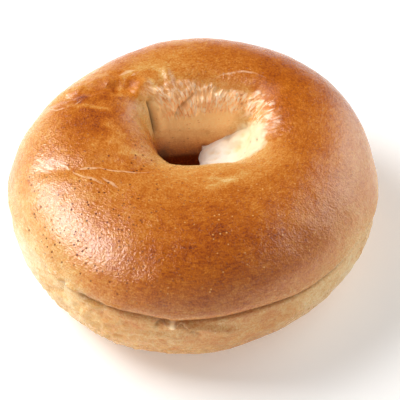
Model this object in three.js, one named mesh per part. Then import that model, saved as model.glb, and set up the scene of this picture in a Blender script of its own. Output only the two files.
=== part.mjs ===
// A plain baked bagel, uncut: one closed ring of dough with a domed crust, in millimetres, +Z up.
// The ring was rolled as a rope and joined at its left side, so it is uneven: the hole sits off
// centre, a fold hangs over the hole's left wall, a shallow seam crosses the ring beside it, a lump
// of pale dough swells into the hole from its right wall, and a crease runs round the waist where
// the domed upper crust overhangs the paler lower half.
//
// The surface is one grid, closed both ways. Azimuth turns about the vertical axis: 0 degrees is
// +X, 90 is +Y. Place runs once round the ring's section: 0 at the waist, 1 at the crown, 2 at the
// throat of the hole, 3 at the inner foot, 4 at the outer foot, and 5 back at the waist.

import * as THREE from 'three';

// Driving dimensions, mm.
const BODY_RADIUS = 54.7;
const CROWN_HEIGHT = 40.9;
const WAIST_HEIGHT = 21.5;
const THROAT_X = 1.5;
const THROAT_Y = 12.0;
const THROAT_HEIGHT = 15.0;

// The hole's throat is a rounded five-sided opening: how far each side lies from the throat's
// centre in mm, and the azimuth that it faces in degrees. A higher power makes tighter corners.
const THROAT_SIDES = [
  { distance: 16.2, facing: 6 },
  { distance: 9.2, facing: 97 },
  { distance: 12.4, facing: 197 },
  { distance: 7.8, facing: 279 },
  { distance: 12.4, facing: 326 },
];
const THROAT_POWER = 5;

// Shape of the section: places are fractions of the way from the throat out to the waist, and a
// fullness of 2 is an ellipse, with higher numbers squarer.
const CROWN_FRACTION = 0.46;
const INNER_FOOT_FRACTION = 0.10;
const OUTER_FOOT_FRACTION = 0.615;
const DOME_FULLNESS = 2.32;
const BELLY_FULLNESS = 2.6;
const SHOULDER_FULLNESS = 2.5;
const NEAR_RIGHT_SLACK = 0.7;
const FLANK_FULLNESS = 3.4;
const FLANK_DROP = 0.8;

// The stretch of ring whose inner flank hangs over the hole, as azimuths in degrees.
const FLANK = { from: 136, whole: 152, fades: 205, gone: 240 };

// The lump of dough in the hole, mm: its upright left end at x = end, its sloping top that climbs
// to the right from the shelf, its underside that recedes below the foot, and how far it bulges.
const LUMP = { end: 3.4, shelf: 16.4, foot: 14, slope: 0.6, undercut: 1.5, bulge: 2.2 };

// The crease round the waist, mm: deep at the front, shallow where the halves hardly part.
const CREASE_DEPTH = 2.3;
const SHALLOW_CREASE_DEPTH = 1.0;
const CREASE_WIDTH = 1.1;
const DEEP_CREASE = { from: 200, whole: 235, fades: 335, gone: 360 };
const CORNER_AZIMUTH = 264.5;
const CORNER_DROP = 1.5;

// Grid: columns round the ring, closer together at the fold, and rows between the named places of
// the section, closer together at the waist.
const COLUMNS = 124;
const COLUMN_CROWDING = 0.45;
const FOLD_AZIMUTH = 142;
const ROWS = { dome: 12, shoulder: 17, bore: 6, base: 2, belly: 8 };
const WAIST_CROWDING = 1.5;

// Lines pressed into the crust or raised on it. Each runs through points given as [azimuth in
// degrees, place], and is width mm wide to either side and height mm high, or deep if negative.
const STROKES = [
  {
    name: 'fold beside the hole', width: 0.9, height: -1.8,
    through: [[144, 1.36], [147, 1.48], [150, 1.66], [152, 1.95]],
  },
  {
    name: 'seam of the join', width: 3.2, height: -0.7,
    through: [[241, 1.27], [224, 1.08], [211, 1], [200, 0.74], [190, 0.5]],
  },
  {
    name: 'gather behind the left arm', width: 2.4, height: -1.1,
    through: [[139, 1.2], [147, 1.02], [155, 0.8], [158, 0.4]],
  },
  { name: 'gathered ridge', width: 1.4, height: 0.5, through: [[156, 1.04], [149, 0.97], [138, 0.9]] },
  { name: 'gathered bump', width: 1.9, height: 0.7, through: [[149, 1.17], [138, 1.17], [127, 1.1]] },
  { name: 'gathered knob', width: 1.5, height: 0.5, through: [[150, 0.72], [156, 0.84], [163, 0.97]] },
  {
    name: 'ridge down the back lip', width: 1.3, height: 0.6,
    through: [[112, 0.97], [114, 1.18], [117, 1.33], [127, 1.5]],
  },
  {
    name: 'groove across the back lip', width: 1.3, height: -0.8,
    through: [[90, 1.4], [104, 1.51], [118, 1.59], [128, 1.7]],
  },
  {
    name: 'fold under the front corner', width: 1.3, height: 0.6,
    through: [[266, 4.98], [271, 4.93], [277, 4.92], [288, 4.84]],
  },
];

const radians = (degrees) => (degrees * Math.PI) / 180;

// A cosine wave round the ring: how many crests, how high, and the azimuth of one crest.
const wave = (azimuth, crests, amount, crest) => amount * Math.cos(crests * radians(azimuth - crest));

// The larger of a value and 0, with the corner between the two rounded off.
const rounded = (value, softness) => (value + Math.hypot(value, softness)) / 2;

// A smooth hump of height 1 at zero that has fallen to 1/e at the given half width.
const bell = (distance, halfWidth) => Math.exp(-((distance / halfWidth) ** 2));

// The signed turn in degrees from one azimuth to another, -180 to 180.
const turn = (azimuth, from) => THREE.MathUtils.euclideanModulo(azimuth - from + 180, 360) - 180;

// The outline of the ring seen from above: a circle with low waves.
function bodyRadius(azimuth) {
  const bulge = 0.6 * bell(turn(azimuth, 353), 12);
  const oval = wave(azimuth, 2, 2.2, 60) + wave(azimuth, 3, 0.4, 32);
  return BODY_RADIUS + oval + wave(azimuth, 4, 0.75, -4) + wave(azimuth, 5, 0.25, 35) + bulge;
}

// The outline of the hole at its throat: the sides' reaches, joined by a power mean that rounds
// the corners between them.
function throatRadius(azimuth) {
  const reach = ({ distance, facing }) => Math.max(0, Math.cos(radians(azimuth - facing))) / distance;
  const sum = THROAT_SIDES.reduce((total, side) => total + reach(side) ** THROAT_POWER, 0);
  return sum ** (-1 / THROAT_POWER);
}

// A stretch of a range: 0 outside it, 1 where it is whole, and smooth between.
function stretchOf(value, { from, whole, fades, gone }) {
  const { smoothstep } = THREE.MathUtils;
  return smoothstep(value, from, whole) * (1 - smoothstep(value, fades, gone));
}

const crownHeight = (azimuth) => CROWN_HEIGHT + wave(azimuth, 1, 0.7, 250);
const crownFraction = (azimuth) => CROWN_FRACTION + wave(azimuth, 1, 0.045, -60);

// The crease climbs towards the front left, and rises and dips once more along the front.
function waistHeight(azimuth) {
  const rise = 0.9 * bell(turn(azimuth, 262), 18) - 1.2 * bell(turn(azimuth, 309), 11);
  return WAIST_HEIGHT + wave(azimuth, 1, 2.9, 236) + wave(azimuth, 2, 2.0, 80) + rise;
}

// How square the shoulder between crown and throat is: square at the back, slack at the near right,
// and nearly upright where the flank hangs over the hole at the left.
function shoulderFullness(azimuth) {
  const slack = NEAR_RIGHT_SLACK * bell(turn(azimuth, 325), 28);
  const plain = SHOULDER_FULLNESS + wave(azimuth, 1, 0.3, 45) - slack;
  return plain + (FLANK_FULLNESS - plain) * stretchOf(azimuth, FLANK);
}

// The crease drops in a corner where the crust's two arcs meet at the front.
const cornerDrop = (azimuth) => CORNER_DROP * Math.exp(-Math.abs(turn(azimuth, CORNER_AZIMUTH)) / 6);

// One point of the section: its fraction of the way out from the throat to the waist, and its
// height. Each stretch but the flat base is a quarter of a superellipse.
function section(azimuth, place) {
  const stretch = Math.floor(place) % 5;
  const along = place - Math.floor(place);
  const c = Math.cos((along * Math.PI) / 2);
  const s = Math.sin((along * Math.PI) / 2);
  const crown = crownFraction(azimuth);
  const top = crownHeight(azimuth);
  const waist = waistHeight(azimuth);
  const drop = cornerDrop(azimuth);
  if (stretch === 0) {
    const fading = Math.max(0, 1 - along / 0.3) ** 2;
    const rise = (top - waist) * s ** (2 / DOME_FULLNESS);
    return [crown + (1 - crown) * c ** (2 / DOME_FULLNESS), waist + rise - drop * fading];
  }
  if (stretch === 1) {
    const power = 2 / shoulderFullness(azimuth);
    const lift = c ** power;
    const slope = FLANK_DROP * stretchOf(azimuth, FLANK) * s ** (2 * power) * lift;
    return [crown * (1 - s ** power), THROAT_HEIGHT + (top - THROAT_HEIGHT) * lift - slope];
  }
  if (stretch === 2) {
    return [INNER_FOOT_FRACTION * (1 - c), THROAT_HEIGHT * (1 - s)];
  }
  if (stretch === 3) {
    return [INNER_FOOT_FRACTION + (OUTER_FOOT_FRACTION - INNER_FOOT_FRACTION) * along, 0];
  }
  const power = 2 / BELLY_FULLNESS;
  const fading = Math.max(0, 1 - (1 - along) / 0.3) ** 2;
  const out = OUTER_FOOT_FRACTION + (1 - OUTER_FOOT_FRACTION) * s ** power;
  return [out, waist * (1 - c ** power) - drop * fading];
}

// How far the lump stands out to the left of the hole's right wall: out to its sloping top, its
// upright end or its underside, whichever is reached first.
function lumpGrowth(place, wall) {
  const top = rounded((wall.z - LUMP.shelf) / LUMP.slope, 1);
  const underside = rounded((LUMP.foot - wall.z) * LUMP.undercut, 1);
  const face = LUMP.end + top + underside - LUMP.bulge * bell(wall.y - THROAT_Y - 6.5, 4);
  const inHole = stretchOf(place, { from: 1.2, whole: 1.45, fades: 2.9, gone: 3 });
  return rounded(wall.x - face, 0.6) * inHole;
}

// A point of the ring before any relief: between the throat's outline and the body's outline, with
// the lump grown out of the hole's right wall.
function ringPoint(azimuth, place) {
  const [out, height] = section(azimuth, place);
  const across = Math.cos(radians(azimuth));
  const away = Math.sin(radians(azimuth));
  const body = bodyRadius(azimuth);
  const throat = throatRadius(azimuth);
  const inner = new THREE.Vector3(THROAT_X + throat * across, THROAT_Y + throat * away, height);
  const outer = new THREE.Vector3(body * across, body * away, height);
  const point = inner.lerp(outer, out);
  point.x -= lumpGrowth(place, point);
  return point;
}

// The direction out of the surface, from the slopes round the ring and along the section.
function ringNormal(azimuth, place) {
  const round = ringPoint(azimuth + 0.5, place).sub(ringPoint(azimuth - 0.5, place));
  const up = ringPoint(azimuth, (place + 0.02) % 5).sub(ringPoint(azimuth, (place + 4.98) % 5));
  return round.cross(up).normalize();
}

// A stroke's centre line as short straight pieces laid on the ring.
function strokeLine({ through }) {
  const marks = through.map(([azimuth, place]) => new THREE.Vector3(azimuth, place, 0));
  const route = new THREE.CatmullRomCurve3(marks);
  return route.getPoints(6 * (through.length - 1)).map((mark) => ringPoint(mark.x, mark.y));
}

// How strongly a stroke acts at a point: a bell of the distance to its line, fading at both ends.
function strokeRelief(stroke, point) {
  const pieces = stroke.line.length - 1;
  const nearest = new THREE.Vector3();
  let distance = Infinity;
  let position = 0;
  for (let i = 0; i < pieces; i += 1) {
    const piece = new THREE.Line3(stroke.line[i], stroke.line[i + 1]);
    const along = piece.closestPointToPointParameter(point, true);
    const reach = piece.at(along, nearest).distanceTo(point);
    if (reach < distance) {
      distance = reach;
      position = (i + along) / pieces;
    }
  }
  const ends = stretchOf(position, { from: 0, whole: 0.2, fades: 0.8, gone: 1 });
  return stroke.height * bell(distance, stroke.width) * ends;
}

// The crease: a sharp groove along the waist, with the crust swelling above it.
function creaseRelief(azimuth, place, height) {
  const fromWaist = place > 2.5 ? place - 5 : place;
  if (Math.abs(fromWaist) > 0.9) {
    return 0;
  }
  const rise = height - waistHeight(azimuth) + cornerDrop(azimuth);
  const deepening = (CREASE_DEPTH - SHALLOW_CREASE_DEPTH) * stretchOf(azimuth, DEEP_CREASE);
  const groove = -(SHALLOW_CREASE_DEPTH + deepening) * Math.exp(-Math.abs(rise) / CREASE_WIDTH);
  const swell = fromWaist >= 0 ? 0.5 * bell(rise - 2.6, 2) : -0.6 * bell(rise + 3.5, 3);
  return groove + swell;
}

// The places of the grid's rows, closer together on both sides of the waist.
function rowPlaces() {
  const even = (count, start) => Array.from({ length: count }, (_, i) => start + i / count);
  const dome = even(ROWS.dome, 0).map((u) => u ** WAIST_CROWDING);
  const belly = even(ROWS.belly, 0).map((u) => 5 - (1 - u) ** WAIST_CROWDING);
  return [...dome, ...even(ROWS.shoulder, 1), ...even(ROWS.bore, 2), ...even(ROWS.base, 3), ...belly];
}

// The columns' azimuths, from 0 to 360 degrees.
function columnAzimuths() {
  const even = Array.from({ length: COLUMNS }, (_, i) => (360 * i) / COLUMNS);
  const shift = (u) => COLUMN_CROWDING * THREE.MathUtils.radToDeg(Math.sin(radians(u - FOLD_AZIMUTH)));
  return even.map((u) => THREE.MathUtils.euclideanModulo(u - shift(u), 360));
}

// The whole crust as one closed grid of triangles, standing on its flat base with its plan box
// centred on the Z axis.
function crustGeometry() {
  const places = rowPlaces();
  const strokes = STROKES.map((stroke) => ({ ...stroke, line: strokeLine(stroke) }));
  const positions = [];
  for (const azimuth of columnAzimuths()) {
    for (const place of places) {
      const point = ringPoint(azimuth, place);
      const presses = strokes.reduce((sum, stroke) => sum + strokeRelief(stroke, point), 0);
      const relief = creaseRelief(azimuth, place, point.z) + presses;
      point.addScaledVector(ringNormal(azimuth, place), relief);
      positions.push(point.x, point.y, Math.max(point.z, 0));
    }
  }
  const index = [];
  const rows = places.length;
  for (let column = 0; column < COLUMNS; column += 1) {
    const here = column * rows;
    const next = ((column + 1) % COLUMNS) * rows;
    for (let row = 0; row < rows; row += 1) {
      const above = (row + 1) % rows;
      index.push(here + row, next + row, next + above);
      index.push(here + row, next + above, here + above);
    }
  }
  const geometry = new THREE.BufferGeometry();
  geometry.setAttribute('position', new THREE.Float32BufferAttribute(positions, 3));
  geometry.setIndex(index);
  geometry.computeBoundingBox();
  const middle = geometry.boundingBox.getCenter(new THREE.Vector3());
  geometry.translate(-middle.x, -middle.y, 0);
  geometry.computeVertexNormals();
  return geometry;
}

const crust = new THREE.MeshStandardMaterial({ color: 0xc8792b, roughness: 0.42, metalness: 0 });
const bagel = new THREE.Mesh(crustGeometry(), crust);
bagel.name = 'bagel';

const part = new THREE.Group();
part.add(bagel);

export default part;
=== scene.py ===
"""A plain baked bagel, uncut, on a pale floor in soft studio light.

The crust is one closed grid wrapped round the ring. Azimuth turns about the vertical axis in degrees:
0 is +X, 90 is +Y. Place runs once round the ring's section: 0 at the waist crease, 1 at the crown,
2 at the throat of the hole, 3 at the inner foot, 4 at the outer foot, and 5 back at the crease.
Shapes are worked out in millimetres and put into the mesh in metres. Where the crust is browned, raw
or wrinkled, and where painted shade, painted glints and painted glow lie on it, is worked out on the same
grid and kept as attributes, which the material reads.
"""
import itertools
import math

import bpy
import numpy as np
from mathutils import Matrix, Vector


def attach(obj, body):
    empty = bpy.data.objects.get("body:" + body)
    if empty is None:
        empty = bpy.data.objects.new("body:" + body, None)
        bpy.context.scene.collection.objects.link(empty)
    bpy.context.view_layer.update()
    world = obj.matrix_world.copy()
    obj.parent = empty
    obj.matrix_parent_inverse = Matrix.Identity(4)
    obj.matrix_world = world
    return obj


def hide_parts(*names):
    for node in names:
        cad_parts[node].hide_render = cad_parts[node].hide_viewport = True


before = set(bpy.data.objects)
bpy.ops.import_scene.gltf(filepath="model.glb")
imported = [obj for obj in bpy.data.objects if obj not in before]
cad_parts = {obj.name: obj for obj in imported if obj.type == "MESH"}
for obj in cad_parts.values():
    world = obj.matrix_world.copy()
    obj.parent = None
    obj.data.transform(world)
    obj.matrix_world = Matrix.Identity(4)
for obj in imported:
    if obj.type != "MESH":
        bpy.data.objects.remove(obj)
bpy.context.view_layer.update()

MM = 0.001                            # a millimetre in metres
PLACES = 5                            # places once round the section

# ---------------------------------------------------------------- sizes of the ring, mm

BODY_RADIUS = 54.7
CROWN_HEIGHT = 40.9
WAIST_HEIGHT = 21.5
THROAT_CENTRE = (1.5, 12.0)
THROAT_HEIGHT = 15.0
# How far each side of the hole lies from the throat's centre, and the azimuth it faces.
THROAT_SIDES = ((16.2, 6), (9.2, 97), (12.4, 197), (7.8, 279), (12.4, 326))
THROAT_POWER = 5.0
CROWN_FRACTION = 0.46
INNER_FOOT_FRACTION = 0.10
OUTER_FOOT_FRACTION = 0.615
DOME_FULLNESS = 2.32
BELLY_FULLNESS = 2.6
SHOULDER_FULLNESS = 2.5
NEAR_RIGHT_SLACK = 0.7                # how much less full the shoulder is at the near right
FLANK_FULLNESS = 3.4
FLANK_DROP = 0.8
FLANK = (136, 152, 205, 240)          # azimuths where the overhanging flank starts, is whole, fades, ends
# The unbaked lump in the hole: x of its upright end, the heights where its sloping top and its receding
# underside start, the slopes of both, and how far its end bulges, with that bulge's y and half width.
LUMP_END = 3.4
LUMP_SHELF = 16.4
LUMP_FOOT = 14.0
LUMP_SLOPE = 0.60
LUMP_UNDERCUT = 1.5
LUMP_BULGE = 2.2
LUMP_BULGE_Y = 18.5
LUMP_BULGE_WIDTH = 4.0
LUMP_PLACES = (1.2, 1.45, 2.9, 3.0)   # places where the lump starts, is whole, fades and ends
CREASE_DEPTH = 2.3
SHALLOW_CREASE_DEPTH = 1.0
CREASE_WIDTH = 1.1
CREASE_REACH = 0.9                    # how far from the waist its relief reaches, in places
DEEP_CREASE = (200, 235, 335, 360)    # azimuths where it starts to deepen, is deep, fades, is shallow
CORNER_AZIMUTH = 264.5
CORNER_DROP = 1.5
LIP_GIRTH = 0.42                      # round the hole's lip in one degree of azimuth

PLAN_MIDDLE = (-0.087, -0.351)        # middle of the ring's plan box, which is put on the Z axis

COLUMNS = 524
ROWS = {"dome": 60, "shoulder": 66, "bore": 20, "base": 8, "belly": 36}
WAIST_CROWDING = 1.5
GRAIN_RADIUS = 9                      # small beside the ring, so that the grain changes little round it

CAMERA_TILT = 46.0                    # degrees below the horizon
CAMERA_DISTANCE = 0.6                 # metres
CAMERA_LENS = 180.9                   # mm on a sensor of the width below
CAMERA_SENSOR = 36
AIM_IN_RING = (1.85, -0.2, 16.2)      # mm, before the plan box is centred

WORLD_LIGHT = 0.62
WORLD_DIMMING = 0.5                   # how much dimmer it is high up beyond the bagel
BEYOND = (0, 0.85, 0.53)              # the way there

# ---------------------------------------------------------------- lines and spots of the crust

# Lines that are both pressed in and darkened with painted shade: the groove across the back lip, and the
# folds beside the knot at the crease's corner, whose own azimuth, place and size in mm follow.
LIP_GROOVE = [(90, 1.4), (104, 1.51), (118, 1.59), (128, 1.7)]
KNOT_LEFT_FOLD = [(263, 4.985), (261, 4.99), (260, 4.98), (259.2, 4.955)]
KNOT_RIGHT_FOLD = [(265, 4.985), (267.5, 4.967), (270, 4.933), (272.5, 4.91)]
KNOT = (264, 4.985, 0.9)

# Lines raised on the crust or pressed into it: ([(azimuth, place), ...], half width, height), in mm.
FOLDS = (
    ([(144, 1.36), (147, 1.48), (150, 1.66), (152, 1.95)], 0.9, -1.8),     # the fold beside the hole
    ([(241, 1.27), (224, 1.08), (211, 1.0), (200, 0.74), (190, 0.5)], 3.2, -0.7),     # the join's seam
    ([(139, 1.2), (147, 1.02), (155, 0.8), (158, 0.4)], 2.4, -1.1),        # gather behind the left arm
    ([(156, 1.04), (149, 0.97), (138, 0.9)], 1.4, 0.5),
    ([(149, 1.17), (138, 1.17), (127, 1.1)], 1.9, 0.7),
    ([(150, 0.72), (156, 0.84), (163, 0.97)], 1.5, 0.5),
    ([(112, 0.97), (114, 1.18), (117, 1.33), (127, 1.5)], 1.3, 0.6),       # ridge down the back lip
    (LIP_GROOVE, 1.3, -0.8),
    ([(266, 4.98), (271, 4.93), (277, 4.92), (288, 4.84)], 1.3, 0.6),      # fold under the front corner
)
FINE_LINES = (
    ([(261.8, 4.995), (264, 4.985), (266.2, 4.985)], 0.9, 1.6),            # knot at the crease's corner
    (KNOT_RIGHT_FOLD, 0.6, -1.3),
    ([(266.5, 4.995), (269.5, 4.965), (274, 4.955), (279, 4.93), (284, 4.88)], 0.8, 1.0),
    (KNOT_LEFT_FOLD, 0.6, -1.1),
    ([(222, 0.03), (226, 0.075), (230, 0.05)], 0.8, 1.1),                  # jagged folds at the left
    ([(228, 4.985), (232, 0.05), (236, 0.04)], 0.8, 1.0),
    ([(233, 4.97), (238, 4.985), (243, 4.97)], 0.8, 1.0),
    ([(243, 0.055), (248, 0.07), (252, 0.06)], 0.6, 0.5),
    ([(148, 1.42), (142, 1.50), (140, 1.58)], 0.7, 0.4),                   # gathers on the lip
    ([(133, 1.30), (137, 1.45), (141, 1.57)], 0.7, 0.5),
    ([(120, 1.36), (124, 1.50), (128, 1.62)], 0.6, 0.45),
    ([(36, 1.975), (30.5, 1.988), (21, 1.987), (14, 1.995)], 1.3, -1.3),   # the lump's rounded end
)
# Folds between the lump's lobes, in the same form.
LUMP_FOLDS = (
    ([(28.5, 1.975), (16, 1.942), (7.5, 1.958)], 0.7, -1.2),
    ([(45, 1.905), (17, 1.9), (8.5, 1.917)], 0.7, -1.0),
    ([(20.5, 1.842), (10.5, 1.875), (354, 1.858)], 0.8, -0.9),
)
# Lines of painted shade in the folds and the groove: (line, half width in mm, darkness).
PAINTED_SHADE_LINES = (
    ([(145, 1.38), (148, 1.5), (151, 1.68), (153, 1.95)], 0.6, 0.9),       # inside the fold beside the hole
    (LIP_GROOVE, 0.4, 0.45),
    (KNOT_LEFT_FOLD, 0.45, 0.7),
    (KNOT_RIGHT_FOLD, 0.4, 0.6),
)
# Dark specks on the raw dough: (azimuth, place), with one size for all in mm.
SPECKS = ((0, 1.87), (348, 1.72), (351, 1.60), (349, 1.50))
SPECK_SIZE = 0.32

# How far the crust baked, 0 raw to 1 dark, over the section: (place from the waist, browning).
# Its steep rise towards the throat, past place 1.8, is painted shade deep in the hole.
BROWNING_PROFILE = (
    (-2, 0.45), (-1.25, 0.50), (-1.0, 0.52), (-0.75, 0.34), (-0.3, 0.34), (-0.02, 0.40),
    (0, 0.46), (0.07, 0.50), (0.2, 0.60), (0.5, 0.66), (1.0, 0.65),
    (1.25, 0.58), (1.5, 0.30), (1.8, 0.26), (2.0, 0.56), (2.15, 0.95),
)
# Spots where it baked darker or stayed paler: (azimuth, place, size in mm, amount).
BROWNINGS = (
    # the front of the dome
    (285, 0.62, 17, 0.09), (262, 0.50, 16, 0.05), (275, 0.80, 11, 0.09), (308, 0.55, 14, 0.02),
    # the left arm and the gathers behind it; the first spot, paler under the lobe's shine, is partly a
    # painted highlight
    (230, 0.42, 13, -0.06), (177, 0.96, 10, 0.18), (150, 1.00, 6, 0.08), (158, 0.78, 6, 0.08),
    (185, 0.7, 12, -0.05), (160, 0.89, 2.4, 0.14), (157, 1.00, 1.8, 0.05), (134, 1.05, 5, 0.04),
    (142, 1.25, 4, -0.06), (138.5, 1.12, 3.6, 0.13),
    # the right side, from its lip outwards
    (2, 1.32, 7, 0.14), (26, 1.38, 5, 0.16),
    (40, 0.97, 17, 0.13), (345, 0.95, 12, 0.10), (0, 0.35, 16, -0.14), (330, 0.3, 12, -0.10),
    # the slope in front of the hole
    (270, 1.18, 9, -0.06), (300, 1.2, 8, -0.06), (330, 1.25, 7, -0.10),
    # the outer side at the left
    (205, 0.35, 17, -0.12), (222, 0.20, 13, -0.10), (198, 0.15, 12, -0.10),
    # the crown behind the hole
    (120, 1.05, 9, -0.08), (112, 0.9, 10, -0.08),
    # the hole's left wall, then painted shade in the hole's depth (the last three)
    (180, 1.20, 9, 0.03), (212, 1.5, 5, 0.16), (185, 1.6, 5, 0.14),
    (208, 1.75, 5, 1.0), (150, 2.0, 6, 0.5), (100, 2.1, 5, 0.4),
    # the belly
    (205, 4.8, 15, -0.16), (235, 4.9, 9, -0.08), (312, 4.93, 8, -0.12), (332, 4.93, 10, -0.16),
    (255, 4.75, 14, 0.06), (285, 4.75, 12, 0.08),
    # the outer side at the back left and the back
    (135, 0.42, 9, -0.20), (148, 0.42, 10, -0.24), (162, 0.42, 10, -0.22), (176, 0.42, 9, -0.16),
    (95, 0.5, 10, -0.08),
)
# Soft strokes where it baked darker or stayed paler: (line, half width in mm, amount).
BAKED_STROKES = (
    ([(147, 1.042), (139, 0.994), (130.5, 0.944), (123, 0.944), (117.5, 0.981), (115.5, 1.042),
      (117, 1.167), (120.5, 1.283)], 1.1, -0.12),                          # the curl behind the hole
    ([(126, 1.083), (131.5, 1.292), (134.5, 1.425)], 0.9, -0.12),
    ([(142, 0.988), (150, 1.06), (157, 1.125)], 1.2, -0.16),               # gathers behind the left arm
    ([(162, 0.78), (164.5, 0.875), (165, 0.95), (168, 1.025), (170, 1.12)], 0.8, -0.22),
    ([(138.5, 0.975), (133, 0.955), (128, 0.938)], 1.0, -0.14),
    ([(146, 0.988), (155, 1.058)], 0.9, 0.10),
    ([(178.5, 1.042), (189, 1.117), (202.5, 1.192)], 1.3, -0.14),          # the arm's slope to the hole
    ([(170, 1.258), (178, 1.4), (200.5, 1.567)], 1.0, -0.12),
    ([(192, 1.067), (211, 1.158), (223.5, 1.283)], 1.1, -0.14),
    ([(208, 1.05), (218, 1.2), (228, 1.342)], 0.8, -0.10),
    ([(272, 1.233), (291.5, 1.142), (310, 1.183)], 1.2, -0.14),            # before the hole
    ([(273, 1.108), (284, 1.125), (295, 1.158)], 1.2, -0.12),
    ([(229, 4.97), (235, 4.945), (241, 4.935), (247, 4.95)], 1.5, 0.08),   # under the crease at the left
    ([(248, 4.96), (253, 4.94), (259, 4.95)], 1.2, 0.06),
)
# Where the raw dough of the hole's right wall ends below the lip: (azimuth, place).
RAW_EDGE = (
    (-45, 1.50), (-30, 1.46), (-20, 1.36), (0, 1.42), (8, 1.46), (15, 1.60), (32, 1.76), (46, 1.88),
)
# Pale scratches and stretch marks on the crust's upper side, partly painted glints on fine ridges:
# (line, half width in mm).
SCRATCHES_AND_GLINTS = (
    ([(80, 1.292), (69.5, 1.175), (58.5, 1.092), (52, 1.083), (43, 1.1)], 0.35),      # scar on the back
    ([(187.5, 0.58), (194, 0.655), (201, 0.74)], 0.55),                    # streaks along the seam
    ([(191, 0.54), (200.5, 0.70)], 0.5),
    ([(195, 0.744), (207.5, 0.844)], 0.3),
    ([(205.5, 0.86), (213, 1.0)], 0.5),
    ([(210, 0.975), (218, 1.008), (229.5, 1.117), (242.5, 1.25)], 0.3),
    ([(210, 0.87), (224, 0.945)], 0.4),
    ([(218, 0.96), (231, 0.975)], 0.4),
    ([(203, 0.80), (216, 0.90)], 0.3),
    ([(160, 0.52), (165, 0.70), (164.5, 0.856), (160, 0.90)], 0.3),        # gathers behind the left arm
    ([(137, 0.93), (131, 0.93), (126, 0.955)], 0.5),
    ([(133, 0.99), (126, 0.985)], 0.4),
)


def wave(azimuth, crests, amount, crest):
    """amount * cos(crests * (azimuth - crest)): a wave round the ring."""
    return amount * np.cos(np.radians(crests * (azimuth - crest)))


def turn(azimuth, start):
    """The signed turn from start to azimuth, brought between -180 and 180 degrees."""
    return (azimuth - start + 180) % 360 - 180


def bell(distance, half_width):
    """exp(-(distance / half_width)^2)."""
    return np.exp(-(distance / half_width) ** 2)


def ease(value, low, high):
    """0 up to low, 1 from high on, and 3u^2 - 2u^3 between, where u is the way from low to high."""
    u = np.clip((value - low) / (high - low), 0, 1)
    return u * u * (3 - 2 * u)


def stretch(value, start, whole, fades, gone):
    """1 from whole to fades, eased down to 0 at start and at gone."""
    return ease(value, start, whole) * (1 - ease(value, fades, gone))


def from_waist(place):
    """The place counted from the waist: above 0 on the crust and down the hole, below 0 on the belly."""
    return np.where(place > PLACES / 2, place - PLACES, place)


def body_radius(azimuth):
    """The ring's outline from above: a circle with waves of 2, 3, 4 and 5 crests and one bulge."""
    waves = wave(azimuth, 2, 2.2, 60) + wave(azimuth, 3, 0.4, 32) + wave(azimuth, 4, 0.75, -4)
    return BODY_RADIUS + waves + wave(azimuth, 5, 0.25, 35) + 0.6 * bell(turn(azimuth, 353), 12)


def throat_radius(azimuth):
    """The hole's outline: (sum over the sides of (max(0, cos(turn)) / distance)^p)^(-1/p)."""
    reach = sum(
        (np.clip(np.cos(np.radians(azimuth - facing)), 0, None) / distance) ** THROAT_POWER
        for distance, facing in THROAT_SIDES
    )
    return reach ** (-1 / THROAT_POWER)


def waist_height(azimuth):
    """Height of the crease: the mean height, waves of 1 and 2 crests, and a rise and a dip at the front."""
    rise = 0.9 * bell(turn(azimuth, 262), 18) - 1.2 * bell(turn(azimuth, 309), 11)
    return WAIST_HEIGHT + wave(azimuth, 1, 2.9, 236) + wave(azimuth, 2, 2.0, 80) + rise


def corner_drop(azimuth):
    """How far the crease drops in its corner at the front: an open V, drop * exp(-|turn| / 6 degrees)."""
    return CORNER_DROP * np.exp(-np.abs(turn(azimuth, CORNER_AZIMUTH)) / 6)


def section(azimuth, place):
    """(fraction of the way out from throat to waist, height). Each stretch between whole places but the
    flat base is a quarter superellipse: cos^(2/n) of the one against sin^(2/n) of the other."""
    number = np.floor(place).astype(int) % PLACES
    along = place - np.floor(place)
    c = np.cos(along * np.pi / 2).clip(0)
    s = np.sin(along * np.pi / 2).clip(0)
    crown = CROWN_FRACTION + wave(azimuth, 1, 0.045, -60)
    top = CROWN_HEIGHT + wave(azimuth, 1, 0.7, 250)
    waist = waist_height(azimuth)
    drop = corner_drop(azimuth)
    flank = stretch(azimuth, *FLANK)
    plain = SHOULDER_FULLNESS + wave(azimuth, 1, 0.3, 45) - NEAR_RIGHT_SLACK * bell(turn(azimuth, 325), 28)
    shoulder = 2 / (plain + (FLANK_FULLNESS - plain) * flank)
    dome = 2 / DOME_FULLNESS
    belly = 2 / BELLY_FULLNESS
    lift = c ** shoulder
    stretches = [number == n for n in range(PLACES)]
    out = np.select(stretches, [
        crown + (1 - crown) * c ** dome,
        crown * (1 - s ** shoulder),
        INNER_FOOT_FRACTION * (1 - c),
        INNER_FOOT_FRACTION + (OUTER_FOOT_FRACTION - INNER_FOOT_FRACTION) * along,
        OUTER_FOOT_FRACTION + (1 - OUTER_FOOT_FRACTION) * s ** belly,
    ])
    height = np.select(stretches, [
        waist + (top - waist) * s ** dome - drop * np.clip(1 - along / 0.3, 0, None) ** 2,
        THROAT_HEIGHT + (top - THROAT_HEIGHT) * lift - FLANK_DROP * flank * s ** (2 * shoulder) * lift,
        THROAT_HEIGHT * (1 - s),
        0 * s,
        waist * (1 - c ** belly) - drop * np.clip(1 - (1 - along) / 0.3, 0, None) ** 2,
    ])
    return out, height


def rounded(value, softness):
    """The larger of value and 0, with the corner between the two rounded off."""
    return (value + np.hypot(value, softness)) / 2


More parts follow.
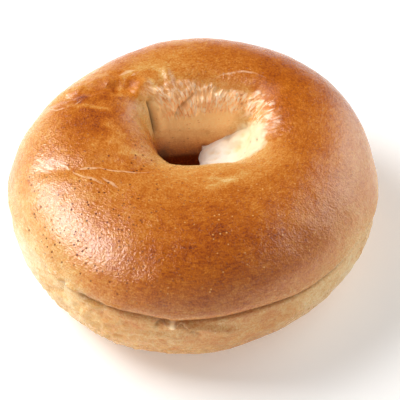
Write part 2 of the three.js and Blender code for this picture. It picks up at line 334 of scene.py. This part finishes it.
def plain_ring(azimuth, place):
    """Points of the ring without its lump: throat outline + fraction * (body outline - throat outline)."""
    azimuth, place = np.broadcast_arrays(np.asarray(azimuth, float), np.asarray(place, float))
    out, height = section(azimuth, place)
    across, away = np.cos(np.radians(azimuth)), np.sin(np.radians(azimuth))
    body, throat = body_radius(azimuth), throat_radius(azimuth)
    inner = np.stack([THROAT_CENTRE[0] + throat * across, THROAT_CENTRE[1] + throat * away], -1)
    outer = np.stack([body * across, body * away], -1)
    return np.concatenate([inner + (outer - inner) * out[..., None], height[..., None]], -1)


def lump_growth(azimuth, place):
    """How far the unbaked lump stands out to the left of the hole's right wall: out to its sloping top,
    its upright end or its underside, whichever is reached first."""
    x, y, height = np.moveaxis(plain_ring(azimuth, place), -1, 0)
    top = rounded((height - LUMP_SHELF) / LUMP_SLOPE, 1)
    underside = rounded((LUMP_FOOT - height) * LUMP_UNDERCUT, 1)
    face = LUMP_END + top + underside - LUMP_BULGE * bell(y - LUMP_BULGE_Y, LUMP_BULGE_WIDTH)
    return rounded(x - face, 0.6) * stretch(place, *LUMP_PLACES)


def ring(azimuth, place):
    """Points of the ring before relief: the plain ring with the lump grown out of its right wall."""
    points = plain_ring(azimuth, place)
    points[..., 0] -= lump_growth(azimuth, place)
    return points


def ring_normals(azimuth, place):
    """The cross product of the slope round the ring and the slope along the section, made unit long."""
    round_slope = ring(azimuth + 0.5, place) - ring(azimuth - 0.5, place)
    up_slope = ring(azimuth, (place + 0.02) % PLACES) - ring(azimuth, (place - 0.02) % PLACES)
    normal = np.cross(round_slope, up_slope)
    return normal / np.linalg.norm(normal, axis=-1, keepdims=True)


def noise(points, size, seed):
    """Gradient noise: at each corner of a cubic lattice of that size a seeded direction is dotted with the
    way to the point, the eight results are blended by 6u^5 - 15u^4 + 10u^3, and 1.6 brings the whole to
    about -1 to 1."""
    rng = np.random.default_rng(seed)
    order = rng.permutation(256)
    slopes = rng.normal(size=(256, 3))
    slopes /= np.linalg.norm(slopes, axis=1, keepdims=True)
    cell = np.floor(points / size).astype(int)
    within = points / size - cell
    blend = within ** 3 * (within * (within * 6 - 15) + 10)
    total = np.zeros(points.shape[:-1])
    for corner in itertools.product((0, 1), repeat=3):
        at = (cell + corner) & 255
        pick = order[(order[(order[at[..., 0]] + at[..., 1]) & 255] + at[..., 2]) & 255]
        slope = (slopes[pick] * (within - corner)).sum(-1)
        total += slope * np.where(corner, blend, 1 - blend).prod(-1)
    return total * 1.6


def layers(points, *amounts):
    """The sum of amount * noise over layers given as (amount, size in mm, seed)."""
    return sum(amount * noise(points, size, seed) for amount, size, seed in amounts)


def spot(points, azimuth, place, size):
    """exp(-(distance / size)^2) round a point of the ring."""
    centre = ring(azimuth, place)
    return bell(np.linalg.norm(points - centre, axis=-1), size)


def line_relief(points, line, width, height):
    """height * exp(-(distance to the line / width)^2), eased to 0 over a fifth of the line at each end.
    The line runs straight between close points of the ring along the given azimuths and places."""
    azimuths, places = np.array(line, float).T
    given = np.arange(len(line))
    steps = np.linspace(0, given[-1], 5 * given[-1] + 1)
    azimuth = np.interp(steps, given, azimuths)
    place = np.interp(steps, given, from_waist(places))
    knots = ring(azimuth, place % PLACES)
    relief = np.zeros(points.shape[:-1])
    reach = 3 * width
    close = ((points > knots.min(0) - reach) & (points < knots.max(0) + reach)).all(-1)
    near = points[close]
    nearest = np.full(len(near), np.inf)
    position = np.zeros(len(near))
    for i, (start, way) in enumerate(zip(knots[:-1], np.diff(knots, axis=0))):
        along = np.clip((near - start) @ way / (way @ way), 0, 1)
        distance = np.linalg.norm(near - start - along[:, None] * way, axis=1)
        closer = distance < nearest
        nearest = np.where(closer, distance, nearest)
        position = np.where(closer, (i + along) / (len(knots) - 1), position)
    relief[close] = height * bell(nearest, width) * stretch(position, 0, 0.2, 0.8, 1)
    return relief


def crease_rise(azimuth, points):
    """Height over the crease, which wanders up and down by a noise where it is jagged at the left."""
    jag = 0.8 * noise(points * (1, 1, 0), 3.2, 51) * bell(turn(azimuth, 233), 22)
    return points[..., 2] - waist_height(azimuth) + corner_drop(azimuth) + jag


def crease_relief(azimuth, place, points):
    """-depth * exp(-|rise| / width) along the waist, where rise is the height over the crease, with the
    crust swelling above it and the belly drawn in below."""
    rise = crease_rise(azimuth, points)
    deepening = (CREASE_DEPTH - SHALLOW_CREASE_DEPTH) * stretch(azimuth, *DEEP_CREASE)
    groove = -(SHALLOW_CREASE_DEPTH + deepening) * np.exp(-np.abs(rise) / CREASE_WIDTH)
    swell = np.where(from_waist(place) >= 0, 0.5 * bell(rise - 2.6, 2), -0.6 * bell(rise + 3.5, 3))
    return np.where(np.abs(from_waist(place)) > CREASE_REACH, 0, groove + swell)


def crease_shade(azimuth, place, points):
    """Painted shade just under the crease: exp(-|rise + 0.3| / 0.45), 0 away from it, weaker where shallow.
    """
    rise = crease_rise(azimuth, points)
    line = np.exp(-np.abs(rise + 0.3) / 0.45) * (0.3 + 0.7 * stretch(azimuth, *DEEP_CREASE))
    return np.where(np.abs(from_waist(place)) > CREASE_REACH, 0, line)


def puckers(azimuth, place, points):
    """Noise of two sizes on the belly's skin under the crease, strongest at the front left."""
    below = -from_waist(place)
    skin = stretch(below, 0, 0.06, 0.3, 0.6) * (0.3 + 0.7 * bell(turn(azimuth, 238), 22))
    return skin * (0.9 * noise(points * (1, 1, 1.9), 3.0, 5) + 0.6 * noise(points * (1, 1, 1.6), 1.7, 6))


def ridges(points, size, seed):
    """(1 - 2 |noise|)^2 where it is positive: sharp crests that wander and branch, 0 to 1."""
    return (1 - 2 * np.abs(noise(points, size, seed))).clip(0) ** 2


def lip_skin(azimuth, place, points):
    """Wrinkled skin at the back of the hole, 0 to 1: from the lip down to ragged ends on the plain wall."""
    top = 1.27 + 0.17 * bell(turn(azimuth, 62), 38) + layers(points, (0.05, 4, 40), (0.05, 1.6, 50))
    foot = 1.62 + layers(points, (0.06, 2.2, 41), (0.03, 5, 42))
    wide = stretch(turn(azimuth, 75), -90, -62, 54, 68)
    return wide * ease(place, top - 0.08, top + 0.04) * (1 - ease(place, foot, foot + 0.1))


def lip_wrinkles(azimuth, place, points):
    """Crests, 0 to 1, that run down the wrinkled skin: ridges on stretched coordinates, fine on coarse,
    with slanting ones across, strong in some patches and faint in others."""
    round_lip = azimuth * LIP_GIRTH
    height = points[..., 2]
    sway = layers(points, (1.6, 3.5, 43), (0.5, 1.5, 48))
    down = np.stack([round_lip + sway, place * 6, height * 0.1], -1)
    across = np.stack([round_lip - 1.5 * sway, place * 14, height * 0.2], -1)
    crests = 0.5 * ridges(down, 2.1, 44) + 0.5 * ridges(down, 1.2, 45) + 0.35 * ridges(across, 1.7, 46)
    return lip_skin(azimuth, place, points) * crests * (0.8 + 0.7 * noise(points, 3, 47))


def painted_shade_and_specks(azimuth, place, points):
    """Painted shade and real dark specks, 0 to 1: painted shade along the crease but for its knot, along
    the shade lines and in the depth of the hole at the left and the back, and the specks on the raw dough."""
    crease = crease_shade(azimuth, place, points) * (1 - spot(points, 264, 4.995, 1.1))
    crease = crease * (0.5 + 0.35 * ease(azimuth, 248, 268))
    lines = [line_relief(points, *line) for line in PAINTED_SHADE_LINES]
    depth = 0.75 * spot(points, 150, 2.02, 3.4) + 0.35 * spot(points, 112, 2.14, 3)
    specks = [spot(points, *where, SPECK_SIZE) for where in SPECKS]
    return np.maximum.reduce([crease, depth, *lines, *specks])


def crust_relief(azimuth, place, points):
    """All relief in mm along the normal: crease + folds + fine lines + wrinkles + puckers + gathers behind
    the left arm + unevenness of a few sizes above the base + lobes of the raw dough."""
    relief = crease_relief(azimuth, place, points)
    for line, width, height in (*FOLDS, *FINE_LINES, *LUMP_FOLDS):
        relief += line_relief(points, line, width, height)
    relief += 0.65 * lip_wrinkles(azimuth, place, points) + puckers(azimuth, place, points)
    relief += 0.4 * noise(points, 2.6, 24) * spot(points, 154, 0.9, 11)
    uneven = layers(points, (0.22, 11, 1), (0.08, 4.5, 2), (0.05, 2.6, 3), (0.03, 1.6, 4))
    relief += ease(points[..., 2], 0.5, 4) * uneven
    lobes = layers(points, (0.9, 4.2, 33), (0.35, 2.0, 34))
    relief += raw_dough(azimuth, place, points) * (0.3 + lobes)
    return relief


def row_places():
    """Places of the rows: even between whole places, but crowded towards the waist by a power."""
    def even(count, start):
        return start + np.arange(count) / count
    dome = even(ROWS["dome"], 0) ** WAIST_CROWDING
    shoulder, bore, base = even(ROWS["shoulder"], 1), even(ROWS["bore"], 2), even(ROWS["base"], 3)
    belly = PLACES - (1 - even(ROWS["belly"], 0)) ** WAIST_CROWDING
    return np.concatenate([dome, shoulder, bore, base, belly])


def closed_grid(name, points):
    """A mesh of quads over a grid that closes both ways; corner order makes every face point outwards."""
    columns, rows = points.shape[:2]
    here = np.arange(columns * rows).reshape(columns, rows)
    beside = np.roll(here, -1, 0)
    corners = np.stack([here, beside, np.roll(beside, -1, 1), np.roll(here, -1, 1)], -1).reshape(-1, 4)
    mesh = bpy.data.meshes.new(name)
    mesh.from_pydata(points.reshape(-1, 3), [], corners)
    mesh.polygons.foreach_set("use_smooth", np.ones(len(corners), bool))
    mesh.update()
    return mesh


def browning(azimuth, place, points):
    """How far the crust is baked, 0 raw to 1 dark: the profile over the section + the spots + the strokes
    - a share of the puckers + blotches behind the left arm + clouds of two sizes."""
    baked = np.interp(from_waist(place), *zip(*BROWNING_PROFILE))
    for where, height, size, amount in BROWNINGS:
        baked = baked + amount * spot(points, where, height, size)
    for line, width, amount in BAKED_STROKES:
        baked = baked + line_relief(points, line, width, amount)
    baked = baked - 0.08 * puckers(azimuth, place, points)
    baked = baked + 0.16 * noise(points, 2.6, 23) * spot(points, 152, 0.93, 11)
    return np.clip(baked + layers(points, (0.05, 13, 21), (0.04, 5, 22)), 0, 1)


def raw_dough(azimuth, place, points):
    """Where the dough stayed raw, 0 to 1: the lump, and the right wall below a line near its lip."""
    facing = turn(azimuth, 0)
    edge = np.interp(facing, *zip(*RAW_EDGE)) + layers(points, (0.04, 4, 31), (0.05, 1.6, 32))
    wall = ease(place, edge - 0.05, edge + 0.06) * (place < 3) * stretch(facing, -52, -34, 35, 55)
    lump = ease(lump_growth(azimuth, place) + 0.3 * noise(points, 2, 30), 0.6, 1.4)
    return np.maximum(wall, lump)


def dough_yellow_and_fold_shade(azimuth, place, points):
    """How yellow the raw dough is, 0 to 1: more towards the right wall and in two stained spots, and along
    the lump's folds as painted shade, which also dims the painted glow there."""
    warm = 0.75 * ease(points[..., 0] + 2 * noise(points, 4, 35), 6, 17)
    for line, width, height in LUMP_FOLDS:
        warm = warm + line_relief(points, line, 0.7 * width, -0.5 * height)
    return (warm + 0.9 * spot(points, 16.5, 1.783, 0.9) + 0.6 * spot(points, 24, 1.83, 0.7)).clip(0, 1)


def crust_fields(azimuth, place, points):
    """The numbers that the material reads at each point, most of them from 0 to 1, by attribute name.
    Browning, raw, yellow (with painted shade along the lump's folds) and the painted shade with the dark
    specks are what the functions above give. The crest and knot field puts painted glints on the wrinkle
    crests and lightens the pale knot as painted light, skin is for the wrinkled skin in patches, and inner
    for the hole's back wall, made paler there partly as painted light. Hollow is where the gloss is lost,
    and crown, the blister field and pitted are where scratches with painted glints, pale blisters partly
    painted as glints, and pits show."""
    on_crust = from_waist(place).clip(0)
    skin = lip_skin(azimuth, place, points)
    knot = spot(points, *KNOT)
    deep = ease(place, 1.75, 2.05) * (place < 3.5)
    lip_spots = (0.85 * spot(points, 28, 1.3, 8), 0.6 * spot(points, 148, 1.2, 4))
    return {
        "browning": browning(azimuth, place, points),
        "raw": raw_dough(azimuth, place, points),
        # yellow of the raw dough, with painted shade along the lump's folds
        "yellow": dough_yellow_and_fold_shade(azimuth, place, points),
        # painted glints on the wrinkle crests, and the pale knot lightened as painted light
        "pale": np.maximum(lip_wrinkles(azimuth, place, points), 1.6 * knot).clip(0, 1.3),
        "skin": skin * (0.8 + 0.8 * noise(points, 2.6, 49)).clip(0.2, 1.25),
        # the hole's back wall, which the material paints paler, partly as painted light
        "inner": stretch(place, 1.36, 1.52, 1.72, 2.08) * stretch(turn(azimuth, 95), -62, -40, 50, 62),
        "hollow": np.maximum.reduce([deep, *lip_spots]),
        "crown": stretch(on_crust, 0.02, 0.2, 1.05, 1.35),
        # where pale blisters show, their colour partly painted glints
        "blistered": bell(turn(azimuth, 292), 48) * stretch(on_crust, 0.1, 0.35, 0.95, 1.2),
        "pitted": ease(on_crust, 0.05, 0.25) * (0.25 + 0.75 * bell(turn(azimuth, 225), 35)),
        # painted shade in the crease, folds and the hole's depth, with the real dark specks
        "dark": painted_shade_and_specks(azimuth, place, points),
    }


def crust_painted_glow(azimuth, place, points, fields):
    """Painted light that the crust gives off, as a colour at each point, lightening places the lamps leave
    dim: the sum of share * colour over the wrinkled skin, the hole's back wall, the raw dough, the knot, a
    spot and the belly at the left."""
    skin = lip_skin(azimuth, place, points)
    baked = 1 - fields["raw"]
    belly = stretch(place, 4.5, 4.75, 4.96, 5.0) * bell(turn(azimuth, 238), 20)
    glow_shares = (
        (skin * baked, (0.15, 0.058, 0.016)),
        (fields["inner"] * (1 - skin) * baked, (0.12, 0.076, 0.032)),
        (fields["raw"] * (1 - fields["yellow"]), (0.09, 0.085, 0.08)),
        (spot(points, *KNOT), (0.4, 0.3, 0.17)),
        (spot(points, 140, 1.25, 3.5), (0.14, 0.06, 0.008)),
        (belly, (0.11, 0.05, 0.004)),
    )
    return sum(share[..., None] * np.array(colour) for share, colour in glow_shares)


def crust_grain(azimuth, girth):
    """Coordinates that change little round the ring and fast across it, for streaks that run along it:
    (radius * cos(azimuth), radius * sin(azimuth), girth of the section)."""
    around = np.radians(azimuth)
    turned = GRAIN_RADIUS * np.cos(around), GRAIN_RADIUS * np.sin(around)
    return np.stack([*turned, np.broadcast_to(girth, azimuth.shape)], -1)


def make_crust():
    """The whole crust as one mesh with its attributes, its plan box centred on the Z axis."""
    azimuth = np.arange(COLUMNS)[:, None] * 360 / COLUMNS
    azimuth, place = np.broadcast_arrays(azimuth, row_places()[None, :])
    base = ring(azimuth, place)
    points = base + ring_normals(azimuth, place) * crust_relief(azimuth, place, base)[..., None]
    points[..., 2] = points[..., 2].clip(0)
    points[..., :2] -= PLAN_MIDDLE
    steps = np.linalg.norm(np.diff(base[0], axis=0), axis=1)
    girth = np.concatenate([[0], np.cumsum(steps)])
    fields = crust_fields(azimuth, place, base)
    # the glow is painted light that the crust gives off
    vectors = {"grain": crust_grain(azimuth, girth), "glow": crust_painted_glow(azimuth, place, base, fields)}
    mesh = closed_grid("bagel_crust", points * MM)
    for name, values in fields.items():
        mesh.attributes.new(name, "FLOAT", "POINT").data.foreach_set("value", values.ravel())
    for name, values in vectors.items():
        mesh.attributes.new(name, "FLOAT_VECTOR", "POINT").data.foreach_set("vector", values.ravel())
    crust = bpy.data.objects.new("bagel_crust", mesh)
    bpy.context.scene.collection.objects.link(crust)
    return crust


# ---------------------------------------------------------------- materials

class Value:
    """A number that varies over a surface. Sums, differences and products add Math nodes."""

    def __init__(self, nodes, socket):
        self.nodes, self.socket = nodes, socket

    def maths(self, operation, *values):
        """What a Math node makes of these values."""
        return self.nodes.number("ShaderNodeMath", {"operation": operation}, dict(enumerate(values)))

    def __add__(self, other):
        return self.maths("ADD", self, other)

    def __sub__(self, other):
        return self.maths("SUBTRACT", self, other)

    def __rsub__(self, other):
        return self.maths("SUBTRACT", other, self)

    def __mul__(self, other):
        return self.maths("MULTIPLY", self, other)

    __radd__ = __add__
    __rmul__ = __mul__

    def between(self, low, high):
        """0 below low, 1 above high, smooth between."""
        settings = {"interpolation_type": "SMOOTHSTEP"}
        return self.nodes.number("ShaderNodeMapRange", settings, {"Value": self, 1: low, 2: high})


class Nodes:
    """The node tree of one material or world."""

    def __init__(self, tree):
        self.tree = tree

    def add(self, kind, settings=None, values=None):
        """A node of that kind with its settings made first, then its sockets' values or links."""
        node = self.tree.nodes.new(kind)
        for name, setting in (settings or {}).items():
            if name == "stops":
                self.set_stops(node.color_ramp, setting)
            else:
                setattr(node, name, setting)
        for name, value in (values or {}).items():
            value = getattr(value, "socket", value)
            if isinstance(value, bpy.types.NodeSocket):
                self.tree.links.new(value, node.inputs[name])
            else:
                node.inputs[name].default_value = value
        return node

    def set_stops(self, ramp, stops):
        """Stops are (position, colour) in rising order."""
        while len(ramp.elements) < len(stops):
            ramp.elements.new(1)
        for element, (position, colour) in zip(ramp.elements, stops):
            element.position, element.color = position, colour

    def number(self, kind, settings, values):
        """The Value that a new node gives."""
        return Value(self, self.add(kind, settings, values).outputs[0])

    def vector(self, operation, first, second, output="Vector"):
        """Vector Math on two vectors: a Value for the output named Value, else the vector socket."""
        node = self.add("ShaderNodeVectorMath", {"operation": operation}, {0: first, 1: second})
        return Value(self, node.outputs[output]) if output == "Value" else node.outputs[output]

    def mix(self, factor, first, second):
        """A colour the way of factor from first to second."""
        values = {0: factor, 6: first, 7: second}
        return self.add("ShaderNodeMix", {"data_type": "RGBA"}, values).outputs[2]

    def attribute(self, name, output="Fac"):
        """What the mesh keeps under that name."""
        node = self.add("ShaderNodeAttribute", {"attribute_name": name})
        return Value(self, node.outputs[output])

    def noise(self, vector, size, detail, roughness=0.5):
        """Blender's noise with features of about size metres, or of the vector's own unit."""
        values = {"Vector": vector, "Scale": 1 / size, "Detail": detail, "Roughness": roughness}
        return self.number("ShaderNodeTexNoise", {}, values)


def rgb(red, green, blue):
    """A colour given as 0 to 255 display values, as linear light."""
    def linear(value):
        value /= 255
        return value / 12.92 if value <= 0.04045 else ((value + 0.055) / 1.055) ** 2.4
    return (linear(red), linear(green), linear(blue), 1)


BROWNING_STOPS = (
    (0.0, rgb(244, 230, 198)),
    (0.2, rgb(234, 198, 138)),
    (0.38, rgb(218, 162, 86)),
    (0.54, rgb(208, 130, 48)),
    (0.70, rgb(188, 100, 10)),
    (0.86, rgb(160, 74, 6)),
    (1.0, rgb(112, 42, 6)),
)
# Partly pale under-baked skin, partly painted light on the hole's shaded back wall.
PALE_WALL_AND_PAINTED_LIGHT = rgb(255, 206, 142)
# Painted glints on the wrinkle crests, and the pale knot lightened as painted light.
CREST_GLINT_PALE = rgb(255, 216, 168)
# Painted glints on the wrinkles' threads, and painted shade in their gaps.
THREAD_GLINT = rgb(255, 236, 212)
THREAD_GAP_SHADE = rgb(190, 96, 34)
# Pale scratches, partly painted glints on fine ridges.
SCRATCH_AND_GLINT_PALE = rgb(255, 218, 176)
WHITE_DOUGH = rgb(255, 248, 240)
YELLOW_DOUGH = rgb(238, 214, 150)
CREAM_DOUGH = rgb(248, 232, 196)
# Painted shade, also used for the real dark specks on the raw dough.
SHADE_AND_SPECK_BROWN = rgb(84, 34, 8)
DARK_PIT = rgb(100, 40, 6)
# Pale blisters, partly painted glints.
BLISTER_GLINT = rgb(255, 206, 130)


def scratch(nodes, place, marks, width):
    """A fine line seen from above through (azimuth, place) points, 0 to 1: 1 - distance / width from its
    straight pieces, thinner towards both ends."""
    knots = [Vector((*(ring(*mark)[:2] - PLAN_MIDDLE), 0)) * MM for mark in marks]
    total = 0
    for i, (start, end) in enumerate(zip(knots, knots[1:])):
        way = end - start
        here = nodes.vector("SUBTRACT", place, start)
        along = nodes.vector("DOT_PRODUCT", here, way / way.length_squared, "Value")
        along = nodes.number("ShaderNodeMath", {"operation": "ADD", "use_clamp": True}, {0: along, 1: 0.0})
        scaled = nodes.add("ShaderNodeVectorMath", {"operation": "SCALE"}, {0: way, "Scale": along})
        foot = scaled.outputs[0]
        gap = nodes.vector("DISTANCE", here, foot, "Value")
        position = (along + i) * (1 / (len(knots) - 1))
        mark = (position * (1 - position) * 5 + 0.2 - gap * (1 / (width * MM))).between(0, 0.8)
        total = mark.maths("MAXIMUM", mark, total)
    return total


def round_spots(nodes, vector, spacing, core, rim):
    """Round spots about spacing metres apart: 1 inside core, 0 outside rim, as parts of the spacing."""
    values = {"Vector": vector, "Scale": 1 / spacing, "Randomness": 1.0}
    cells = nodes.add("ShaderNodeTexVoronoi", {}, values)
    return 1 - Value(nodes, cells.outputs["Distance"]).between(core, rim)


def browned(nodes, place, grain):
    """The browning's colour, uneven by clouds, mottles and grains and by streaks along the ring, and the
    mottles."""
    baked = nodes.attribute("browning")
    cloudy = nodes.noise(place, 0.005, 3)
    mottled = nodes.noise(place, 0.0014, 3, 0.6)
    grainy = nodes.noise(place, 0.0005, 2, 0.6)
    streaks = nodes.noise(grain, 0.4, 3, 0.6)
    depth = baked + (cloudy - 0.5) * 0.24 + (mottled - 0.5) * 0.34
    depth = depth + (grainy - 0.5) * 0.55 + (streaks - 0.5) * 0.42
    ramp = nodes.add("ShaderNodeValToRGB", {"stops": BROWNING_STOPS}, {"Fac": depth})
    return ramp.outputs["Color"], mottled


def scratches_and_glints(nodes, place, sway):
    """All pale scratches and painted glints on fine ridges of the crust's upper side, 0 to 1, swaying a
    little and broken up in places.
    """
    seen_from_above = nodes.vector("MULTIPLY", place, (1, 1, 0))
    where = nodes.vector("ADD", seen_from_above, sway)
    total = 0
    for marks, width in SCRATCHES_AND_GLINTS:
        line = scratch(nodes, where, marks, width)
        total = line.maths("MAXIMUM", line, total)
    return total * nodes.noise(place, 0.003, 2).between(0.3, 0.5) * nodes.attribute("crown")


def raw_colour(nodes, place):
    """White to yellow dough with creamy clouds; its yellow along the lump's folds is painted shade."""
    dough = nodes.mix(nodes.attribute("yellow"), WHITE_DOUGH, YELLOW_DOUGH)
    return nodes.mix(nodes.noise(place, 0.003, 3) * 0.4, dough, CREAM_DOUGH)


def pits_and_blister_glints(nodes, place, raw):
    """Dark pits, and small bright blisters whose pale colour is partly painted glints, each 0 to 1, in
    loose groups.
    """
    pitted = nodes.attribute("pitted") * (1 - raw)
    grouped = nodes.noise(place, 0.005, 2).between(0.38, 0.48)
    pit = round_spots(nodes, place, 0.0018, 0.14, 0.23) * grouped * pitted
    scattered = nodes.noise(place, 0.004, 1).between(0.40, 0.54)
    blister_glint = round_spots(nodes, place, 0.0021, 0.05, 0.18) * scattered * nodes.attribute("blistered")
    return pit, blister_glint


def skin_bump(nodes, place, grain, folds):
    """The crust's fine bump: pores + dimples + ripples along the ring - crinkles + the skin's folds."""
    pores = nodes.noise(place, 0.0005, 2, 0.6)
    dimples = nodes.noise(place, 0.0011, 1.0, 0.5)
    crinkle = nodes.noise(place, 0.0022, 2, 0.5).maths("SUBTRACT", 0.5).maths("ABSOLUTE")
    ripples = nodes.noise(grain, 0.3, 2, 0.6)
    relief = pores * 0.7 + dimples * 0.6 + ripples * 0.3 - crinkle * 0.7 + folds
    values = {"Strength": 1.0, "Distance": 0.0002, "Height": relief}
    return nodes.add("ShaderNodeBump", {}, values).outputs[0]


def baked_crust():
    """Boiled and baked crust: the browning runs from raw dough through gold to chestnut, with fine
    streaks along the ring, dark pits, small pale blisters partly painted as glints and a satin gloss where
    it is browned. Painted shade, painted glints and a painted glow are laid over its colour."""
    material = bpy.data.materials.new("baked_crust")
    material.use_nodes = True
    material.node_tree.nodes.clear()
    n = Nodes(material.node_tree)
    place = n.add("ShaderNodeTexCoord").outputs["Object"]
    grain = n.attribute("grain", "Vector")
    raw = n.attribute("raw")
    dark = n.attribute("dark")
    inner = n.attribute("inner")
    skin = n.attribute("skin")

    colour, mottled = browned(n, place, grain)
    sway = n.add("ShaderNodeTexNoise", {}, {"Vector": place, "Scale": 1 / 0.004, "Detail": 2.0})
    sway = n.vector("SUBTRACT", sway.outputs["Color"], (0.5, 0.5, 0.5))
    scratch_and_glint = scratches_and_glints(n, place, n.vector("MULTIPLY", sway, (0.8 * MM, 0.8 * MM, 0)))
    wavy = n.vector("MULTIPLY", grain, (6.5, 6.5, 0.9))
    wavy = n.vector("ADD", wavy, n.vector("MULTIPLY", sway, (3.68, 3.68, 0)))
    threads = n.noise(wavy, 2.5, 3, 0.6)
    pit, blister_glint = pits_and_blister_glints(n, place, raw)

    # The back wall made paler, partly as painted light.
    colour = n.mix(inner * 0.75, colour, PALE_WALL_AND_PAINTED_LIGHT)
    # Painted glints on the wrinkle crests; the knot lightened as painted light.
    colour = n.mix(n.attribute("pale") * 0.75, colour, CREST_GLINT_PALE)
    # Painted glints on the threads and painted shade in their gaps.
    colour = n.mix(threads.between(0.50, 0.57) * skin * 0.8, colour, THREAD_GLINT)
    colour = n.mix((1 - threads).between(0.51, 0.60) * skin * 0.6, colour, THREAD_GAP_SHADE)
    # Pale scratches, partly painted glints.
    colour = n.mix(scratch_and_glint * 0.42, colour, SCRATCH_AND_GLINT_PALE)
    colour = n.mix(raw, colour, raw_colour(n, place))
    # Painted shade in the crease, folds and the hole's depth, and the real dark specks.
    colour = n.mix(dark, colour, SHADE_AND_SPECK_BROWN)
    colour = n.mix(pit * 0.95, colour, DARK_PIT)
    # Pale blisters, partly painted glints.
    colour = n.mix(blister_glint * 0.65, colour, BLISTER_GLINT)

    unbaked = 1 - n.attribute("browning")
    roughness = 0.14 + (mottled - 0.5) * 0.1 + unbaked * 0.2 + raw * 0.25 + (inner + pit) * 0.4
    # The emission is painted light, given by the glow attribute.
    finish = {
        "Base Color": colour, "Normal": skin_bump(n, place, grain, threads * skin * 2),
        "Emission Color": n.attribute("glow", "Color"), "Emission Strength": 1.0}
    gloss = {"Roughness": roughness, "Specular IOR Level": 0.9}
    no_gloss = {"Roughness": 1.0, "Specular IOR Level": 0.0}
    satin = n.add("ShaderNodeBsdfPrincipled", {}, {**finish, **gloss})
    matt = n.add("ShaderNodeBsdfPrincipled", {}, {**finish, **no_gloss})
    dull = dark.maths("MAXIMUM", dark, n.attribute("hollow"))
    dull = dull.maths("MAXIMUM", dull, pit)
    shader = n.add("ShaderNodeMixShader", {}, {0: dull, 1: satin.outputs[0], 2: matt.outputs[0]})
    n.add("ShaderNodeOutputMaterial", {}, {"Surface": shader.outputs[0]})
    return material


def plain_floor():
    """Matt off-white sheet that gives off a little light of its own, like a light table."""
    material = bpy.data.materials.new("floor_paper")
    material.use_nodes = True
    material.node_tree.nodes.clear()
    n = Nodes(material.node_tree)
    shader = n.add("ShaderNodeBsdfPrincipled", {}, {
        "Base Color": (0.9, 0.9, 0.9, 1), "Roughness": 0.9, "Specular IOR Level": 0.0,
        "Emission Color": (1.0, 0.99, 0.98, 1), "Emission Strength": 0.22})
    n.add("ShaderNodeOutputMaterial", {}, {"Surface": shader.outputs[0]})
    return material


# ---------------------------------------------------------------- light, floor and camera

def softbox(name, azimuth, elevation, distance, size, power, tint=(1, 1, 1)):
    """A square light aimed at the bagel from that azimuth and elevation in degrees, with its distance and
    size in metres and its power in watts."""
    light = bpy.data.lights.new(name, "AREA")
    light.size, light.energy, light.color = size, power, tint
    lamp = bpy.data.objects.new(name, light)
    bpy.context.scene.collection.objects.link(lamp)
    flat = math.cos(math.radians(elevation))
    way = Vector((flat * math.cos(math.radians(azimuth)), flat * math.sin(math.radians(azimuth)),
                  math.sin(math.radians(elevation))))
    lamp.location = way * distance
    lamp.rotation_euler = way.to_track_quat("Z", "Y").to_euler()


def add_camera(aim):
    """A camera that looks along +Y and down at aim."""
    camera = bpy.data.cameras.new("camera")
    camera.lens, camera.sensor_width = CAMERA_LENS, CAMERA_SENSOR
    holder = bpy.data.objects.new("camera", camera)
    bpy.context.scene.collection.objects.link(holder)
    tilt = math.radians(CAMERA_TILT)
    holder.location = Vector(aim) + CAMERA_DISTANCE * Vector((0, -math.cos(tilt), math.sin(tilt)))
    holder.rotation_euler = (math.pi / 2 - tilt, 0, 0)
    bpy.context.scene.camera = holder


def add_floor():
    """A square sheet under the bagel, wide enough to fill the view."""
    mesh = bpy.data.meshes.new("floor")
    reach = 4.0                       # metres
    corners = [(-reach, -reach, 0), (reach, -reach, 0), (reach, reach, 0), (-reach, reach, 0)]
    mesh.from_pydata(corners, [], [(0, 1, 2, 3)])
    floor = bpy.data.objects.new("floor", mesh)
    bpy.context.scene.collection.objects.link(floor)
    mesh.materials.append(plain_floor())


def add_world():
    """Soft light from all round, dimmer high up beyond the bagel so that the crust keeps its colour."""
    world = bpy.data.worlds.new("studio")
    bpy.context.scene.world = world
    world.use_nodes = True
    world.node_tree.nodes.clear()
    n = Nodes(world.node_tree)
    way = n.add("ShaderNodeTexCoord").outputs["Generated"]
    beyond = n.vector("DOT_PRODUCT", way, BEYOND, "Value")
    strength = WORLD_LIGHT - WORLD_DIMMING * beyond.between(-0.8, 0.5)
    background = n.add("ShaderNodeBackground", {}, {"Color": (1.0, 0.985, 0.965, 1), "Strength": strength})
    n.add("ShaderNodeOutputWorld", {}, {"Surface": background.outputs[0]})


crust = make_crust()
crust.data.materials.append(baked_crust())
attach(crust, "root")
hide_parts("bagel")

add_floor()
add_world()
softbox("key", azimuth=163, elevation=43, distance=0.9, size=0.56, power=10.3, tint=(1, 0.99, 0.98))
softbox("right_reflector", azimuth=30, elevation=22, distance=1, size=0.95, power=7, tint=(1, 0.955, 0.9))
add_camera([(aim - middle) * MM for aim, middle in zip(AIM_IN_RING, (*PLAN_MIDDLE, 0))])
bpy.context.scene.view_settings.view_transform = "Standard"
